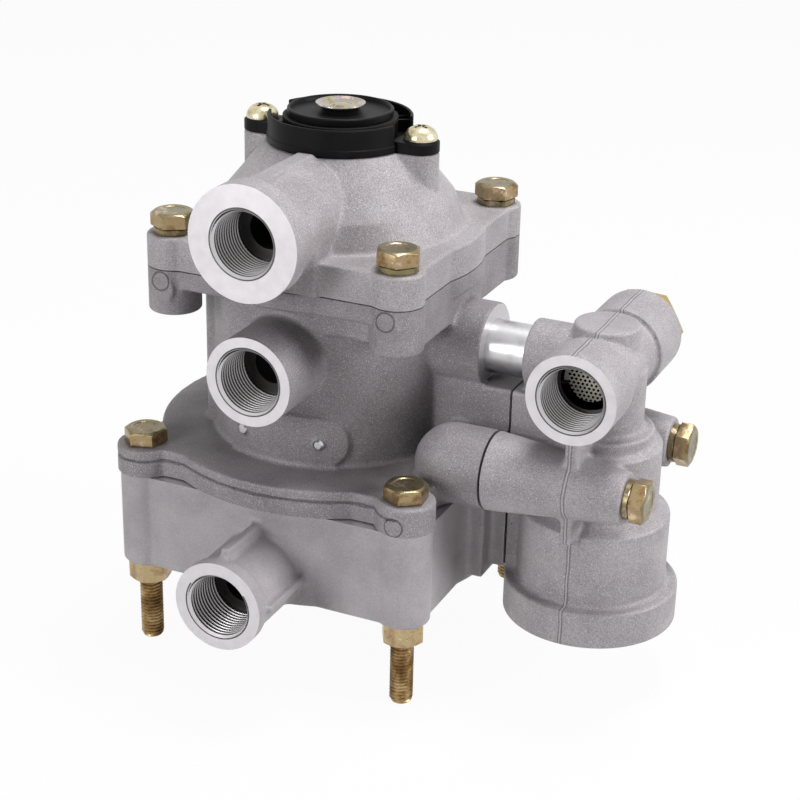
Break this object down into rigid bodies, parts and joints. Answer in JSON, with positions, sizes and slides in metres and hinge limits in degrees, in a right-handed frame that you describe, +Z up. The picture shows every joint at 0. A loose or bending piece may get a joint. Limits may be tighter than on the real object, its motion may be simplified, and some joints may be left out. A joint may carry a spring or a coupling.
{
  "type": "trailer brake valve",
  "caption": "Trailer brake relay valve: stacked cast housings with tapped air ports to the front, a side barrel with check valve and strainer, a vent on top and mounting studs below.",
  "frame": {"origin": "on the main axis, in the plane of the tips of the long mounting studs", "axes": "+Z up along the main axis towards the vent, -Y out of the air ports, +X towards the side barrel"},
  "size_m": [0.1874, 0.1474, 0.1878],
  "materials": {
    "cast": "shot-blasted casting",
    "alloy": "turned",
    "zinc_yellow": "yellow passivated zinc",
    "zinc_bright": "bright zinc",
    "steel": "polished",
    "brass": "turned",
    "rubber": "matt",
    "plastic": "semi-gloss"
  },
  "bodies": {
    "housing": {"lower_housing": "cast", "middle_housing": "cast", "top_cover": "cast", "joint_seal_lower": "rubber", "joint_seal_upper": "rubber", "housing_bolts": "zinc_yellow", "housing_nuts": "zinc_yellow", "cover_bolts": "zinc_yellow", "cover_washers": "zinc_yellow", "side_barrel": "cast", "side_gasket": "rubber", "lower_pad_seal": "rubber", "side_bolts": "zinc_yellow", "side_washers": "zinc_yellow", "transfer_tube": "steel", "tube_seals": "rubber", "strainer_plug": "brass", "plug_seal": "rubber", "strainer_spring": "steel", "check_spring": "steel", "barrel_cap": "alloy", "cap_seal": "rubber", "cap_clip": "steel", "control_spring": "steel", "emergency_spring": "steel", "inlet_spring": "steel", "valve_guide": "brass", "guide_seal": "rubber", "vent_base": "plastic", "vent_cup": "plastic", "vent_flap": "rubber", "vent_rivet": "zinc_yellow", "vent_screws": "zinc_bright", "plate_pins": "steel"},
    "control_piston": {"control_piston": "alloy", "control_ring": "rubber"},
    "inlet_valve": {"inlet_valve": "brass", "inlet_rubber": "rubber"},
    "emergency_piston": {"emergency_piston": "alloy", "emergency_rings": "rubber"},
    "check_valve": {"check_valve": "brass", "check_seal": "rubber"},
    "strainer": {"strainer": "alloy"}
  },
  "joints": [
    {"name": "control_slide", "type": "slide", "parent": "housing", "child": "control_piston", "axis": [0, 0, 1], "range_m": [0, 0.005], "stiffness_N_per_m": 2000, "springref_m": -0.01, "deforming": ["control_spring"]},
    {"name": "inlet_slide", "type": "slide", "parent": "housing", "child": "inlet_valve", "axis": [0, 0, 1], "range_m": [0, 0.0033], "stiffness_N_per_m": 800, "springref_m": -0.006, "deforming": ["inlet_spring"]},
    {"name": "emergency_slide", "type": "slide", "parent": "housing", "child": "emergency_piston", "axis": [0, 0, -1], "range_m": [0, 0.004], "stiffness_N_per_m": 3000, "springref_m": -0.008, "deforming": ["emergency_spring"]},
    {"name": "check_slide", "type": "slide", "parent": "housing", "child": "check_valve", "axis": [0, 0, -1], "range_m": [0, 0.003], "stiffness_N_per_m": 500, "springref_m": -0.008, "deforming": ["check_spring"]},
    {"name": "strainer_slide", "type": "slide", "parent": "housing", "child": "strainer", "axis": [0, 1, 0], "range_m": [0, 0.003], "stiffness_N_per_m": 500, "springref_m": -0.008, "deforming": ["strainer_spring"]}
  ],
  "couplings": [
    {"joint": "inlet_slide", "follows": "control_slide", "ratio": 0.66}
  ]
}
